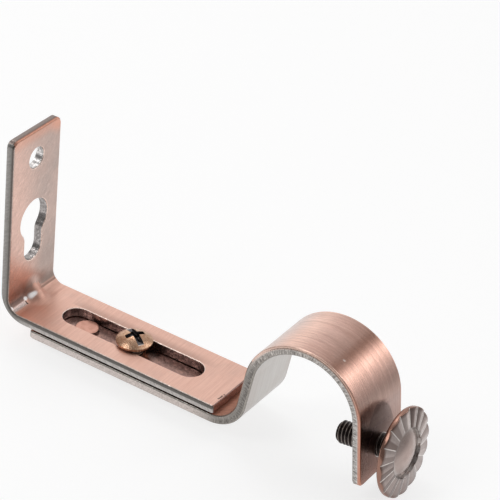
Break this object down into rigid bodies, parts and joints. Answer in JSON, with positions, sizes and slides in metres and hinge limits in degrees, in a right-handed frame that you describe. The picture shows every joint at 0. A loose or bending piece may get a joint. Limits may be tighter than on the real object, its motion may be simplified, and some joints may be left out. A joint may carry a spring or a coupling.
{
  "type": "curtain pole bracket",
  "caption": "Adjustable curtain pole bracket: an angled wall plate with a slotted arm, a sliding hook with a round saddle, a clamp screw and a thumb screw.",
  "frame": {"origin": "centre of the round screw hole, on the face that lies against the wall", "axes": "+X leads away from the wall along the arm, +Y runs across the strip and along the pole, and +Z leads from the arm towards the round screw hole; in use the bracket is turned over, so that the hook opens upwards"},
  "size_m": [0.1194, 0.0234, 0.0584],
  "materials": {
    "copper_plate": "brushed antique copper plating over steel, edges worn to grey",
    "bronze_screw": "dark golden bronze plating, semi-gloss",
    "dark_thread": "blackened steel thread with worn crests",
    "antique_knob": "mauve grey antiqued copper plating, brushed"
  },
  "bodies": {
    "wall_bracket": {"wall_bracket": "copper_plate"},
    "pole_hook": {"pole_hook": "copper_plate"},
    "clamp_screw": {"clamp_screw": "bronze_screw"},
    "thumb_stud": {"thumb_screw_stud": "dark_thread"},
    "thumb_head": {"thumb_screw_head": "antique_knob"}
  },
  "joints": [
    {"name": "hook_slide", "type": "slide", "parent": "wall_bracket", "child": "pole_hook", "axis": [1, 0, 0], "range_m": [0, 0.0184]},
    {"name": "clamp_screw_turn", "type": "hinge", "parent": "pole_hook", "child": "clamp_screw", "pos_m": [0.0364, 0, -0.042], "axis": [0, 0, 1], "range_deg": [-225, 720]},
    {"name": "thumb_screw_travel", "type": "slide", "parent": "pole_hook", "child": "thumb_stud", "axis": [0.9925, 0, 0.1219], "range_m": [-0.005, 0.008]},
    {"name": "thumb_screw_turn", "type": "hinge", "parent": "thumb_stud", "child": "thumb_head", "pos_m": [0.11626, 0, -0.03853], "axis": [0.9925, 0, 0.1219], "range_deg": [-1800, 2880]}
  ],
  "couplings": [
    {"joint": "thumb_screw_travel", "follows": "thumb_screw_turn", "m_per_rad": 0.00015915}
  ]
}
